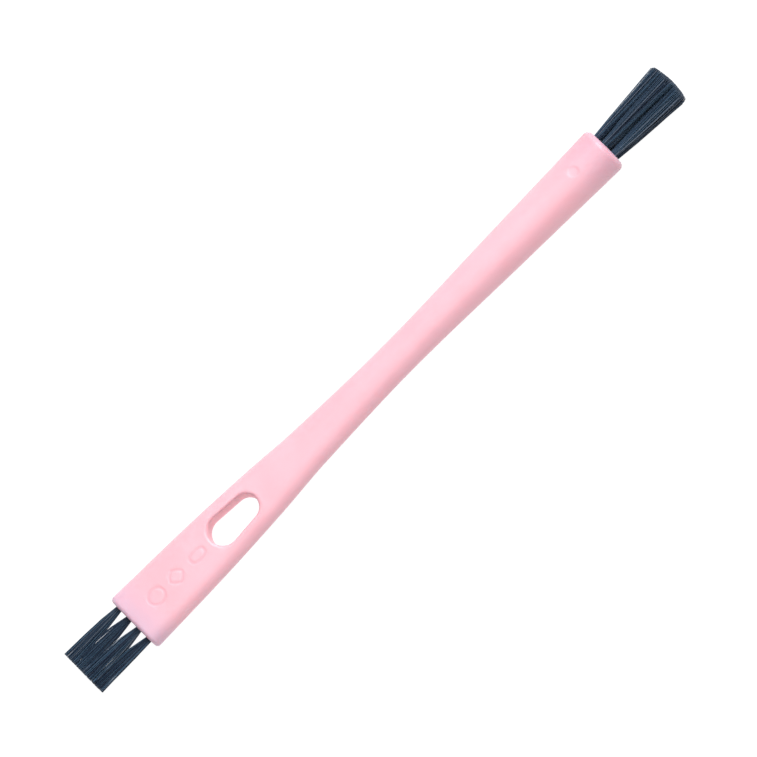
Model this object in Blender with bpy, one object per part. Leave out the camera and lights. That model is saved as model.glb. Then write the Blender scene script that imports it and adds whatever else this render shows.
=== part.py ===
"""Club groove brush: one moulded handle with a flat brush at one end and a round brush at the other.

The handle lies along X. Its flat paddle end and the row of four tufts are at -X, its round barrel end and the
round brush are at +X. Y runs across the paddle and Z is up, square to the paddle's faces. The origin is on the
surface that the brush lies on, under the middle of its length.

Every tuft is a bundle folded over a short flat wire anchor at the bottom of a blind hole. The anchor is wider
than the hole, so its two ends sit in pockets in the hole's wall.
"""

import math

import bmesh
import bpy

MM = 0.001

# ---------------------------------------------------------------- driving dimensions
HANDLE_LENGTH = 132.5 * MM
FLAT_BRISTLE_LENGTH = 14.0 * MM
ROUND_BRISTLE_LENGTH = 18.5 * MM

# The handle's widths (Y) and thicknesses (Z), and how far from the flat end each one is.
PADDLE_WIDTH = 13.6 * MM
PADDLE_THICKNESS = 5.2 * MM
PADDLE_LENGTH = 36.0 * MM
PADDLE_NARROWING = 2.6 * MM
SHOULDER_AT = 20.0 * MM
SHOULDER_NARROWING = 1.0 * MM
SLIM_AT = 50.0 * MM
SLIM_WIDTH = 8.95 * MM
SLIM_THICKNESS = 5.7 * MM
WAIST_AT = 75.0 * MM
WAIST_WIDTH = 7.52 * MM
WAIST_THICKNESS = 6.7 * MM
BARREL_LENGTH = 28.5 * MM
BARREL_START_WIDTH = 8.88 * MM
BARREL_START_THICKNESS = 8.5 * MM
BARREL_DIAMETER = 10.2 * MM

# How far the flat faces of the paddle stay from its rounded sides, and the rounding of both end rims.
PADDLE_SIDE_ROUNDING = 2.8 * MM
END_RIM_RADIUS = 0.55 * MM

# The hang slot: a long hole with round ends, wider towards the flat end.
SLOT_START = 22.5 * MM
SLOT_LENGTH = 12.1 * MM
SLOT_WIDE = 6.3 * MM
SLOT_NARROW = 5.4 * MM

# The shallow round dimple on the barrel's upper side.
DIMPLE_DIAMETER = 2.1 * MM
DIMPLE_DEPTH = 0.25 * MM
DIMPLE_BEFORE_END = 8.2 * MM

# The tufts and the blind holes that hold them.
HOLE_DIAMETER = 1.5 * MM
HOLE_DEPTH = 5.0 * MM
FLAT_TUFT_COUNT = 4
FLAT_TUFT_PITCH = 2.9 * MM
FLAT_TIP_THICKNESS = 2.5 * MM
RING_TUFT_COUNT = 6
RING_RADIUS = 2.77 * MM
ROUND_TIP_DIAMETER = 9.3 * MM
ROUND_TIP_DOME_RADIUS = 18.5 * MM

# The flat wire anchors: their bite into the wall, height along the hole, thickness and edge bevel.
ANCHOR_BITE = 0.25 * MM
ANCHOR_HEIGHT = 1.4 * MM
ANCHOR_THICKNESS = 0.3 * MM
ANCHOR_EDGE = 0.06 * MM
FOLD_THICKNESS = 0.4 * MM

# Clearances.
TUFT_CLEARANCE = 0.05 * MM
ANCHOR_CLEARANCE = 0.05 * MM
TUFT_SPACING = 0.3 * MM
CUT_OVERRUN = 1.0 * MM

# How finely the shapes are drawn.
SIDE_STEPS = 16
RING_SPACING = 4.5 * MM
RIM_STEPS = 3
SLOT_END_STEPS = 12
HOLE_STEPS = 20
DIMPLE_STEPS = 24
TUFT_STEPS = 5

# ---------------------------------------------------------------- places worked out from them
OVERALL_LENGTH = FLAT_BRISTLE_LENGTH + HANDLE_LENGTH + ROUND_BRISTLE_LENGTH
FLAT_END_X = FLAT_BRISTLE_LENGTH - OVERALL_LENGTH / 2
ROUND_END_X = FLAT_END_X + HANDLE_LENGTH
AXIS_HEIGHT = max(BARREL_DIAMETER, PADDLE_THICKNESS, ROUND_TIP_DIAMETER) / 2
BARREL_START_AT = HANDLE_LENGTH - BARREL_LENGTH
PLUG_RADIUS = HOLE_DIAMETER / 2 - TUFT_CLEARANCE
ANCHOR_WIDTH = HOLE_DIAMETER + 2 * ANCHOR_BITE
ANCHOR_DEPTH = HOLE_DEPTH - TUFT_CLEARANCE - FOLD_THICKNESS - ANCHOR_CLEARANCE - ANCHOR_HEIGHT / 2
ROUND_TIP_RADIUS = (ROUND_TIP_DIAMETER / 2 - TUFT_SPACING) / 3
ROUND_TIP_RING = 2 * ROUND_TIP_RADIUS + TUFT_SPACING
FLAT_TIP_WIDTH = FLAT_TUFT_PITCH - TUFT_SPACING


def smooth_through(stations):
    """A function that runs smoothly through (position, value) stations, with no overshoot between them."""
    rises = [(b[1] - a[1]) / (b[0] - a[0]) for a, b in zip(stations, stations[1:])]
    slopes = []
    for before, after in zip([rises[0]] + rises, rises + [rises[-1]]):
        slopes.append(2 * before * after / (before + after) if before * after > 0 else 0.0)

    def value(position):
        piece = 0
        while piece < len(rises) - 1 and position > stations[piece + 1][0]:
            piece += 1
        (start, first), (end, last) = stations[piece], stations[piece + 1]
        t = min(max((position - start) / (end - start), 0.0), 1.0)
        blend = t * t * (3 - 2 * t)
        swing = t * (1 - t) * ((1 - t) * slopes[piece] - t * slopes[piece + 1])
        return first + (last - first) * blend + (end - start) * swing

    return value


width_at = smooth_through(
    (
        (0.0, PADDLE_WIDTH),
        (SHOULDER_AT, PADDLE_WIDTH - SHOULDER_NARROWING),
        (PADDLE_LENGTH, PADDLE_WIDTH - PADDLE_NARROWING),
        (SLIM_AT, SLIM_WIDTH),
        (WAIST_AT, WAIST_WIDTH),
        (BARREL_START_AT, BARREL_START_WIDTH),
        (HANDLE_LENGTH, BARREL_DIAMETER),
    )
)
thickness_at = smooth_through(
    (
        (0.0, PADDLE_THICKNESS),
        (PADDLE_LENGTH, PADDLE_THICKNESS),
        (SLIM_AT, SLIM_THICKNESS),
        (WAIST_AT, WAIST_THICKNESS),
        (BARREL_START_AT, BARREL_START_THICKNESS),
        (HANDLE_LENGTH, BARREL_DIAMETER),
    )
)
flatness_at = smooth_through(((0.0, 1.0), (PADDLE_LENGTH, 1.0), (WAIST_AT, 0.0), (HANDLE_LENGTH, 0.0)))


# ---------------------------------------------------------------- building blocks
def plain_material(name, colour, roughness, metallic=0.0):
    material = bpy.data.materials.new(name)
    material.use_nodes = True
    shader = material.node_tree.nodes["Principled BSDF"]
    shader.inputs["Base Color"].default_value = (*colour, 1.0)
    shader.inputs["Roughness"].default_value = roughness
    shader.inputs["Metallic"].default_value = metallic
    return material


def finished(name, shape, material=None):
    """The object of a finished bmesh, with its faces pointing out. With no material it is a cutter."""
    bmesh.ops.recalc_face_normals(shape, faces=shape.faces)
    mesh = bpy.data.meshes.new(name)
    shape.to_mesh(mesh)
    shape.free()
    mesh.shade_smooth()
    mesh.set_sharp_from_angle(angle=math.radians(35))
    piece = bpy.data.objects.new(name, mesh)
    if material:
        mesh.materials.append(material)
        bpy.context.scene.collection.objects.link(piece)
    else:
        piece.hide_render = True
        piece.display_type = "WIRE"
    return piece


def lofted(rings):
    """A closed bmesh grown from ring to ring of (x, y, z) points."""
    shape = bmesh.new()
    first = face = shape.faces.new([shape.verts.new(point) for point in rings[0]])
    for ring in rings[1:]:
        grown = bmesh.ops.extrude_face_region(shape, geom=[face])["geom"]
        if face is not first:
            shape.faces.remove(face)
        face = next(item for item in grown if isinstance(item, bmesh.types.BMFace))
        for vert, point in zip(face.verts, ring):
            vert.co = point
    bmesh.ops.remove_doubles(shape, verts=shape.verts, dist=0.001 * MM)
    return shape


def block(centre, size):
    """A bmesh box of the given size (x, y, z) round a centre."""
    shape = bmesh.new()
    bmesh.ops.create_cube(shape, size=1.0)
    bmesh.ops.scale(shape, vec=size, verts=shape.verts)
    bmesh.ops.translate(shape, vec=centre, verts=shape.verts)
    return shape


def oval(centre, half_width, half_thickness, steps):
    """The (y, z) points of an ellipse round a centre."""
    turns = [2 * math.pi * step / steps for step in range(steps)]
    return [(centre[0] + half_width * math.cos(a), centre[1] + half_thickness * math.sin(a)) for a in turns]


def cutters(name, pieces):
    """A collection that one Boolean can cut with."""
    collection = bpy.data.collections.new(name)
    collection.hide_render = True
    bpy.context.scene.collection.children.link(collection)
    for piece in pieces:
        collection.objects.link(piece)
    return collection


def cut(piece, name, collection):
    modifier = piece.modifiers.new(name, "BOOLEAN")
    modifier.operation = "DIFFERENCE"
    modifier.solver = "EXACT"
    modifier.operand_type = "COLLECTION"
    modifier.collection = collection


# ---------------------------------------------------------------- handle
def handle_section(distance, inset):
    """The handle's outline (y, z): a half ellipse at each side, with the paddle's flats between them."""
    half_width = width_at(distance) / 2
    half_thickness = thickness_at(distance) / 2 - inset
    flat = flatness_at(distance) * max(half_width - PADDLE_SIDE_ROUNDING, 0.0)
    points = []
    for side in (1, -1):
        for step in range(SIDE_STEPS + 1):
            angle = math.pi * (step / SIDE_STEPS - 0.5)
            y = side * (flat + (half_width - inset - flat) * math.cos(angle))
            z = side * half_thickness * math.sin(angle)
            points.append((y, z))
    return points


def handle_stations():
    """The distances from the flat end at which the handle gets a ring, each with its inset at the rounded rims."""
    rim = []
    for step in range(RIM_STEPS + 1):
        angle = math.pi / 2 * step / RIM_STEPS
        rim.append((END_RIM_RADIUS * (1 - math.cos(angle)), END_RIM_RADIUS * (1 - math.sin(angle))))
    stations = list(rim)
    turns = (END_RIM_RADIUS, PADDLE_LENGTH, WAIST_AT, HANDLE_LENGTH - END_RIM_RADIUS)
    for start, end in zip(turns, turns[1:]):
        steps = math.ceil((end - start) / RING_SPACING)
        stations += [(start + (end - start) * step / steps, 0.0) for step in range(1, steps)]
        stations.append((end, 0.0))
    stations.pop()
    stations += [(HANDLE_LENGTH - distance, inset) for distance, inset in reversed(rim)]
    return stations


def make_handle(material):
    rings = []
    for distance, inset in handle_stations():
        outline = handle_section(distance, inset)
        rings.append([(FLAT_END_X + distance, y, AXIS_HEIGHT + z) for y, z in outline])
    return finished("handle", lofted(rings), material)


def slot_cutter():
    """A tapered stadium: two round ends of different widths, joined by their common tangents."""
    wide = SLOT_WIDE / 2
    narrow = SLOT_NARROW / 2
    wide_x = FLAT_END_X + SLOT_START + wide
    narrow_x = FLAT_END_X + SLOT_START + SLOT_LENGTH - narrow
    tangent = math.acos((wide - narrow) / (narrow_x - wide_x))
    outline = []
    for centre_x, radius, start, end in (
        (narrow_x, narrow, -tangent, tangent),
        (wide_x, wide, tangent, 2 * math.pi - tangent),
    ):
        for step in range(SLOT_END_STEPS + 1):
            angle = start + (end - start) * step / SLOT_END_STEPS
            outline.append((centre_x + radius * math.cos(angle), radius * math.sin(angle)))
    reach = PADDLE_THICKNESS / 2 + CUT_OVERRUN
    rings = [[(x, y, AXIS_HEIGHT + z) for x, y in outline] for z in (-reach, reach)]
    return finished("hang_slot_cutter", lofted(rings))


def dimple_cutter():
    """A short upright plug whose flat bottom leaves the dimple's floor."""
    centre_x = ROUND_END_X - DIMPLE_BEFORE_END
    top = thickness_at(HANDLE_LENGTH - DIMPLE_BEFORE_END) / 2
    radius = DIMPLE_DIAMETER / 2
    outline = oval((centre_x, 0.0), radius, radius, DIMPLE_STEPS)
    rings = [[(x, y, AXIS_HEIGHT + z) for x, y in outline] for z in (top - DIMPLE_DEPTH, top + CUT_OVERRUN)]
    return finished("dimple_cutter", lofted(rings))


# ---------------------------------------------------------------- one tufted hole
class TuftPlace:
    """Where one tuft sits: the face it leaves, its way out, its root and tip (y, z), and its tip's half sizes."""

    def __init__(self, name, way, root, tip, tip_half, free_length, dome_radius):
        self.name = name
        self.way = way
        self.face_x = ROUND_END_X if way > 0 else FLAT_END_X
        self.root = root
        self.tip = tip
        self.tip_half = tip_half
        self.free_length = free_length
        self.dome_radius = dome_radius

    def x(self, outward):
        """The x of a point this far out of the handle's end face, negative inside the hole."""
        return self.face_x + self.way * outward

    def anchor_size(self, clearance):
        """The anchor's box. It lies across the flat row's line, and level in the round brush."""
        height = ANCHOR_HEIGHT + 2 * clearance
        thickness = ANCHOR_THICKNESS + 2 * clearance
        width = ANCHOR_WIDTH + 2 * clearance
        return (height, width, thickness) if self.way > 0 else (height, thickness, width)

    def anchor_centre(self):
        return (self.x(-ANCHOR_DEPTH), self.root[0], AXIS_HEIGHT + self.root[1])


def flat_places():
    places = []
    for number in range(FLAT_TUFT_COUNT):
        y = (number - (FLAT_TUFT_COUNT - 1) / 2) * FLAT_TUFT_PITCH
        half = (FLAT_TIP_WIDTH / 2, FLAT_TIP_THICKNESS / 2)
        places.append(TuftPlace(f"flat_{{}}_{number + 1}", -1, (y, 0.0), (y, 0.0), half, FLAT_BRISTLE_LENGTH, None))
    return places


def round_places():
    half = (ROUND_TIP_RADIUS, ROUND_TIP_RADIUS)
    spots = [("centre", 0.0, 0.0)]
    for number in range(RING_TUFT_COUNT):
        spots.append((str(number + 1), 1.0, math.pi / 2 + 2 * math.pi * number / RING_TUFT_COUNT))
    places = []
    for label, share, angle in spots:
        y, z = share * math.cos(angle), share * math.sin(angle)
        root = (RING_RADIUS * y, RING_RADIUS * z)
        tip = (ROUND_TIP_RING * y, ROUND_TIP_RING * z)
        name = f"round_{{}}_{label}"
        places.append(TuftPlace(name, 1, root, tip, half, ROUND_BRISTLE_LENGTH, ROUND_TIP_DOME_RADIUS))
    return places


def make_tuft(place, material):
    """A bundle: a plain plug in its hole, then a flare to its tip, which the round brush's dome cuts."""
    rings = []
    outline = oval(place.root, PLUG_RADIUS, PLUG_RADIUS, HOLE_STEPS)
    bottom = place.x(TUFT_CLEARANCE - HOLE_DEPTH)
    rings.append([(bottom, y, AXIS_HEIGHT + z) for y, z in outline])
    for step in range(TUFT_STEPS + 1):
        share = step / TUFT_STEPS
        centre = [root + (tip - root) * share for root, tip in zip(place.root, place.tip)]
        half = [PLUG_RADIUS + (size - PLUG_RADIUS) * share for size in place.tip_half]
        ring = []
        for y, z in oval(centre, half[0], half[1], HOLE_STEPS):
            drop = (y * y + z * z) / (2 * place.dome_radius) if place.dome_radius else 0.0
            ring.append((place.x((place.free_length - drop) * share), y, AXIS_HEIGHT + z))
        rings.append(ring)
    return finished(place.name.format("tuft"), lofted(rings), material)


def make_anchor(place, material):
    shape = block(place.anchor_centre(), place.anchor_size(0.0))
    bmesh.ops.bevel(
        shape, geom=shape.edges[:], offset=ANCHOR_EDGE, segments=1, profile=0.5, affect="EDGES", material=-1
    )
    return finished(place.name.format("anchor"), shape, material)


def hole_cutter(place):
    outline = oval(place.root, HOLE_DIAMETER / 2, HOLE_DIAMETER / 2, HOLE_STEPS)
    rings = [[(place.x(out), y, AXIS_HEIGHT + z) for y, z in outline] for out in (-HOLE_DEPTH, CUT_OVERRUN)]
    return finished(place.name.format("hole"), lofted(rings))


def anchor_room(place):
    """The space for an anchor, cut out of both the handle's wall and the folded bundle."""
    return finished(place.name.format("anchor_room"), block(place.anchor_centre(), place.anchor_size(ANCHOR_CLEARANCE)))


# ---------------------------------------------------------------- the whole brush
def main():
    for old in list(bpy.data.objects):
        bpy.data.objects.remove(old)

    pink = plain_material("pink_plastic", (0.93, 0.58, 0.67), 0.42)
    nylon = plain_material("dark_nylon", (0.035, 0.05, 0.075), 0.5)
    brass = plain_material("anchor_brass", (0.78, 0.57, 0.25), 0.3, 1.0)

    places = flat_places() + round_places()
    handle = make_handle(pink)
    cut(handle, "holes", cutters("hole_cutters", [hole_cutter(place) for place in places]))
    rooms = [anchor_room(place) for place in places]
    cut(handle, "anchor_pockets", cutters("anchor_rooms", rooms))
    cut(handle, "hang_slot", cutters("hang_slot_cutters", [slot_cutter()]))
    cut(handle, "dimple", cutters("dimple_cutters", [dimple_cutter()]))

    for place, room in zip(places, rooms):
        tuft = make_tuft(place, nylon)
        cut(tuft, "anchor_window", cutters(place.name.format("window_cutter"), [room]))
        make_anchor(place, brass)


main()
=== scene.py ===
# %% [markdown]
# # A club groove brush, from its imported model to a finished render
# The brush is one slim moulded handle with bristles at both ends: a row of four tufts in its flat paddle,
# and a ring of six tufts round a middle one in its round barrel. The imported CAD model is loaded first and
# never moved. Every place below is read from its boxes, so the looks always sit on the real part.

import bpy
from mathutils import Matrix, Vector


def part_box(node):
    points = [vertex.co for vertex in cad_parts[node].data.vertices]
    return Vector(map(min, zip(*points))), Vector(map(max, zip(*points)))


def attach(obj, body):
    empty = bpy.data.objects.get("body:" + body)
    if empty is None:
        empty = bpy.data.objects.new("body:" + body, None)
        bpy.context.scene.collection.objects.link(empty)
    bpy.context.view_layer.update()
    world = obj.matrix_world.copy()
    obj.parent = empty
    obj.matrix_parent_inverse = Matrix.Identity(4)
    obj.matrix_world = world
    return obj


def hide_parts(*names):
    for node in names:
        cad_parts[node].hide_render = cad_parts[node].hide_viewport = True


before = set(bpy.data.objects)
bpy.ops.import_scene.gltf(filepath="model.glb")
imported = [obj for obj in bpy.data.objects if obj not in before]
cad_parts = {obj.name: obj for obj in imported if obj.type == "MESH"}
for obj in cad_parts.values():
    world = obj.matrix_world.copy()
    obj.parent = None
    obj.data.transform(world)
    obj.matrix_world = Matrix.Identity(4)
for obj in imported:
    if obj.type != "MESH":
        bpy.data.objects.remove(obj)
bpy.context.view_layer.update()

# %% [markdown]
# ## Where things are
# Blender works in metres here, and a brush is a few millimetres thick, so one name for a millimetre keeps
# the sizes readable. The handle's box gives its two end faces and the height of its axis. X runs along the
# brush from the flat end to the round end, Y across the paddle, and Z is up.

# %% Places read from the frame
import math
import random

import bmesh
import bpy
import numpy as np
from mathutils import Matrix, Vector

MM = 0.001

handle_low, handle_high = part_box("handle")
FLAT_END, ROUND_END = handle_low.x, handle_high.x
LENGTH = ROUND_END - FLAT_END
AXIS = (handle_low.z + handle_high.z) / 2
print(f"handle {LENGTH / MM:.1f} mm long, its axis {AXIS / MM:.2f} mm up")

# %% [markdown]
# ## The handle's section
# The handle is one smooth moulding: a flat paddle that narrows to a slim oval waist and swells into a round
# barrel. Its width, thickness and flatness are each given at a few stations and run smoothly between them.
# Each section is a half ellipse at each side with the paddle's flats between, and the flats die out by the
# waist. A formula like this beats sculpting here, because the surface can be asked for a point anywhere.

# %% Width, thickness and flatness along the handle
SHOULDER_AT = 20.0 * MM
PADDLE_LENGTH = 36.0 * MM
SLIM_AT = 50.0 * MM
WAIST_AT = 75.0 * MM
BARREL_AT = LENGTH - 28.5 * MM
SIDE_ROUNDING = 2.8 * MM

# Each station is how far it is from the flat end, then its size in mm or how flat it is, from 0 to 1.
WIDTHS = (
    (0.0, 13.6),
    (SHOULDER_AT, 12.6),
    (PADDLE_LENGTH, 11.0),
    (SLIM_AT, 8.95),
    (WAIST_AT, 7.52),
    (BARREL_AT, 8.88),
    (LENGTH, 10.2),
)
THICKNESSES = (
    (0.0, 5.2),
    (PADDLE_LENGTH, 5.2),
    (SLIM_AT, 5.7),
    (WAIST_AT, 6.7),
    (BARREL_AT, 8.5),
    (LENGTH, 10.2),
)
FLATNESSES = (
    (0.0, 1.0),
    (PADDLE_LENGTH, 1.0),
    (WAIST_AT, 0.0),
    (LENGTH, 0.0),
)


def smooth_through(stations):
    """A function that runs smoothly through (position, value) stations, with no overshoot between them."""
    rises = [(b[1] - a[1]) / (b[0] - a[0]) for a, b in zip(stations, stations[1:])]
    slopes = []
    for before, after in zip([rises[0]] + rises, rises + [rises[-1]]):
        slopes.append(2 * before * after / (before + after) if before * after > 0 else 0.0)

    def value(position):
        piece = 0
        while piece < len(rises) - 1 and position > stations[piece + 1][0]:
            piece += 1
        (start, first), (end, last) = stations[piece], stations[piece + 1]
        t = min(max((position - start) / (end - start), 0.0), 1.0)
        swing = t * (1 - t) * ((1 - t) * slopes[piece] - t * slopes[piece + 1])
        return first + (last - first) * t * t * (3 - 2 * t) + (end - start) * swing

    return value


width_at = smooth_through([(at, size * MM) for at, size in WIDTHS])
thickness_at = smooth_through([(at, size * MM) for at, size in THICKNESSES])
flatness_at = smooth_through(FLATNESSES)


def section(distance):
    """Half width, half thickness and half width of the flat, this far from the flat end."""
    half_width = width_at(distance) / 2
    flat = flatness_at(distance) * max(half_width - SIDE_ROUNDING, 0.0)
    return half_width, thickness_at(distance) / 2, flat


for at in (0.0, PADDLE_LENGTH, WAIST_AT, LENGTH):
    print(f"{at / MM:6.1f} mm along: width, thickness and flat", [round(2 * v / MM, 2) for v in section(at)])

# %% [markdown]
# ## Rings round the handle
# A handle that changes shape along its length is grown from rings: a circle of vertices is extruded from
# one station to the next and laid on that station's outline. The vertices are spread evenly along the
# outline, so the flats and the round sides get faces of the same size. Two extra vertices close to each
# side leave room for the hairline where the two halves of the mould met. Each quarter of a ring is measured
# off along a finely stepped curve, and the other three quarters are its mirror images.

# %% Points of one ring
QUARTER_STEPS = 24
HAIRLINE_SHARE = 0.009
HAIRLINE_DEPTH = 0.018 * MM
CURVE_STEPS = 64
QUARTER = [step / QUARTER_STEPS for step in range(QUARTER_STEPS)] + [1 - HAIRLINE_SHARE]
AROUND = 4 * len(QUARTER)


def ring_points(distance, inset):
    """One ring, from the middle of the top towards +Y and on round the handle."""
    half_width, half_thickness, flat = section(distance)
    half_width, half_thickness = half_width - inset, half_thickness - inset
    turns = np.linspace(0.0, math.pi / 2, CURVE_STEPS + 1)
    y = np.concatenate(([0.0], flat + (half_width - flat) * np.sin(turns)))
    z = np.concatenate(([half_thickness], half_thickness * np.cos(turns)))
    run = np.concatenate(([0.0], np.cumsum(np.hypot(np.diff(y), np.diff(z)))))
    shares = np.array(QUARTER + [1.0]) * run[-1]
    y, z = np.interp(shares, run, y), np.interp(shares, run, z)
    y[-1] -= HAIRLINE_DEPTH
    last = len(QUARTER)
    right = [(y[i], z[i]) for i in range(last)] + [(y[i], -z[i]) for i in range(last, 0, -1)]
    around = right + [(-a, -b) for a, b in right]
    return [Vector((FLAT_END + distance, a, AXIS + b)) for a, b in around]


first_gap = ring_points(0.0, 0.0)[1].y
print(AROUND, "vertices in a ring,", round(first_gap / MM, 2), "mm apart on the paddle")

# %% [markdown]
# ## Where the rings stand
# A moulding has no knife edges. The rim of the flat end is rolled with a small radius, the rim of the round
# end with a larger one, and the round end's face is a gentle crown. A Bevel modifier could round the rims,
# but here they simply become more rings, whose insets follow a quarter circle. In the paddle and the barrel
# the rings stand close together, because the slot, the marks and the dimple need small faces. The plain
# neck between them gets by with wider gaps.

# %% Stations along the handle
FLAT_RIM = 0.8 * MM
ROUND_RIM = 1.1 * MM
RIM_STEPS = 8
RIM_SUPPORT = 0.12 * MM
CROWN = 0.22 * MM
BARREL_RADIUS = thickness_at(LENGTH) / 2

# Each stretch is how far it reaches from the flat end, then the gap between its rings.
STRETCHES = (
    (37 * MM, 0.42 * MM),
    (118 * MM, 1.0 * MM),
    (LENGTH - CROWN - ROUND_RIM, 0.45 * MM),
)


def rim_stations(radius, crown):
    """(distance, inset) from the end's highest point, out over a gentle crown and round the rim."""
    made = []
    for step in range(-1, RIM_STEPS + 1):
        turn = math.pi / 2 * max(step, 0) / RIM_STEPS
        inset = radius * (1 - math.sin(turn)) + (RIM_SUPPORT if step < 0 else 0.0)
        fall = crown * (1 - inset / BARREL_RADIUS) ** 2
        made.append((fall + radius * (1 - math.cos(turn)), inset))
    return made


stations = rim_stations(FLAT_RIM, 0.0)
for end, spacing in STRETCHES:
    start = stations[-1][0]
    steps = math.ceil((end - start) / spacing)
    stations += [(start + (end - start) * step / steps, 0.0) for step in range(1, steps + 1)]
stations.pop()
stations += [(LENGTH - distance, inset) for distance, inset in reversed(rim_stations(ROUND_RIM, CROWN))]
print(len(stations), "stations along the handle")

# %% [markdown]
# ## Growing and closing
# Three short helpers do nearly all the modelling. One finds the edges of a closed ring, one extrudes that
# ring and lays the new vertices on given points, and one fills a small ring round a vertex of its own. The
# extrusion is `bmesh.ops.extrude_edge_only`, which leaves the old ring where it is and joins the new one to
# it. A float layer for wear and painted shade travels with the vertices: above 0 the finish is rubbed paler
# there, and below 0 it is mixed a deeper pink as painted shade. A fourth helper turns a finished bmesh into
# an object on the brush.

# %% Helpers for rings
def edges_of(ring):
    """The edges that join each vertex of a closed ring to the next."""
    pairs = zip(ring, ring[1:] + ring[:1])
    return [next(edge for edge in a.link_edges if edge.other_vert(a) == b) for a, b in pairs]


def grow(shape, ring, points, wear_and_shade=0.0):
    """Extrudes a closed ring and lays the new vertices on points, in the ring's order."""
    made = bmesh.ops.extrude_edge_only(shape, edges=edges_of(ring))["geom"]
    fresh = {item for item in made if isinstance(item, bmesh.types.BMVert)}
    grown = [next(e.other_vert(v) for e in v.link_edges if e.other_vert(v) in fresh) for v in ring]
    layer = shape.verts.layers.float["wear_and_shade"]
    for vert, point in zip(grown, points):
        vert.co = point
        vert[layer] = wear_and_shade
    return grown


def close_on_middle(shape, ring):
    """Fills a small ring with triangles that meet in one new vertex at its middle."""
    faces = bmesh.ops.edgeloop_fill(shape, edges=edges_of(ring))["faces"]
    bmesh.ops.poke(shape, faces=faces)


def finished(name, shape, material, slot, *nodes):
    """The object of a finished bmesh: it rides on the brush and stands for its CAD nodes."""
    bmesh.ops.recalc_face_normals(shape, faces=shape.faces)
    mesh = bpy.data.meshes.new(name)
    shape.to_mesh(mesh)
    shape.free()
    mesh.materials.append(material)
    mesh.shade_smooth()
    piece = bpy.data.objects.new(name, mesh)
    bpy.context.scene.collection.objects.link(piece)
    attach(piece, "root")
    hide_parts(*nodes)
    return piece


# %% [markdown]
# ## Node trees in few words
# Each finish is a node tree. The helper `add` adds a node, sets its values and links its inputs in one
# call, so a finish reads like a recipe, and three more helpers mix colours, map ranges and multiply. Values
# that are the same all over are set on the shader's own sockets, and only what changes over the surface is
# linked.

# %% Helper for materials
def new_material(name):
    """A new material, its node tree and its shader."""
    material = bpy.data.materials.new(name)
    material.use_nodes = True
    return material, material.node_tree, material.node_tree.nodes["Principled BSDF"]


def add(tree, kind, settings=None, **inputs):
    """A node with its settings, and its inputs, by name or as i0, i1 and so on, set to a value or linked."""
    made = tree.nodes.new(kind)
    for key, value in (settings or {}).items():
        setattr(made, key, value)
    for key, value in inputs.items():
        numbered = key[0] == "i" and key[1:].isdigit()
        socket = made.inputs[int(key[1:]) if numbered else key]
        if isinstance(value, bpy.types.NodeSocket):
            tree.links.new(value, socket)
        else:
            socket.default_value = value
    return made


def blend(tree, share, first, second):
    """A mix of two colours or links, from the first at a share of 0 to the second at 1."""
    mixed = add(tree, "ShaderNodeMix", {"data_type": "RGBA"}, i0=share, i6=first, i7=second)
    return mixed.outputs[2]


def spread(tree, value, low, high, to_low, to_high):
    """Maps a value from one range onto another, with a soft start and end, and keeps it inside."""
    settings = {"interpolation_type": "SMOOTHSTEP"}
    ranged = add(tree, "ShaderNodeMapRange", settings, i0=value, i1=low, i2=high, i3=to_low, i4=to_high)
    return ranged.outputs[0]


def multiplied(tree, value, factor):
    """A value times a factor or another value."""
    return add(tree, "ShaderNodeMath", {"operation": "MULTIPLY"}, i0=value, i1=factor).outputs[0]


# %% [markdown]
# ## Pink handle plastic
# The handle is moulded in an opaque baby pink with a fine satin grain, as a spark-eroded mould leaves it.
# One flat colour would look like paint, so the finish is built up in thin layers, each mixed over the last.
# The colour drifts very slightly where the melt cooled. The rims and the slot's lip are rubbed a little
# paler and smoother by the hand and the hook. The slot's walls, the dimple's slope and the marks' grooves
# are mixed a deeper pink as painted shade. Over the flat end's last 8 mm and on the round end's rim the
# pink turns greyer and more lilac, a painted reflection of the dark bristles, and over the round end's last
# 14 mm it turns darker and more lilac as painted shade. Light goes up to a millimetre into the plastic,
# which keeps its shaded side warm.

# %% Handle plastic
PINK = (0.880, 0.462, 0.530, 1)
DRIFTED_PINK = (0.890, 0.485, 0.556, 1)
GRAIN_PINK = (0.87, 0.42, 0.50, 1)
RUBBED_PINK = (0.97, 0.62, 0.69, 1)
# Painted shade: a deeper pink for the slot's walls, the dimple's slope and the marks' grooves.
SHADED_RECESS_PINK = (0.85, 0.36, 0.43, 1)
# Painted reflection of the dark bristles: a greyer lilac pink near the flat end.
FLAT_END_REFLECTION_PINK = (0.70, 0.455, 0.575, 1)
# Painted shade: a darker, more lilac pink over the round end's last 14 mm.
ROUND_END_SHADE_PINK = (0.65, 0.36, 0.457, 1)
# Painted reflection of the dark bristles: a lilac pink on the round end's rim.
ROUND_RIM_REFLECTION_PINK = (0.67, 0.42, 0.545, 1)
FLAT_REFLECTION_REACH = 8.0 * MM
ROUND_SHADE_REACH = 14.0 * MM
ROUND_RIM_REFLECTION_REACH = 0.8 * MM


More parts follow.
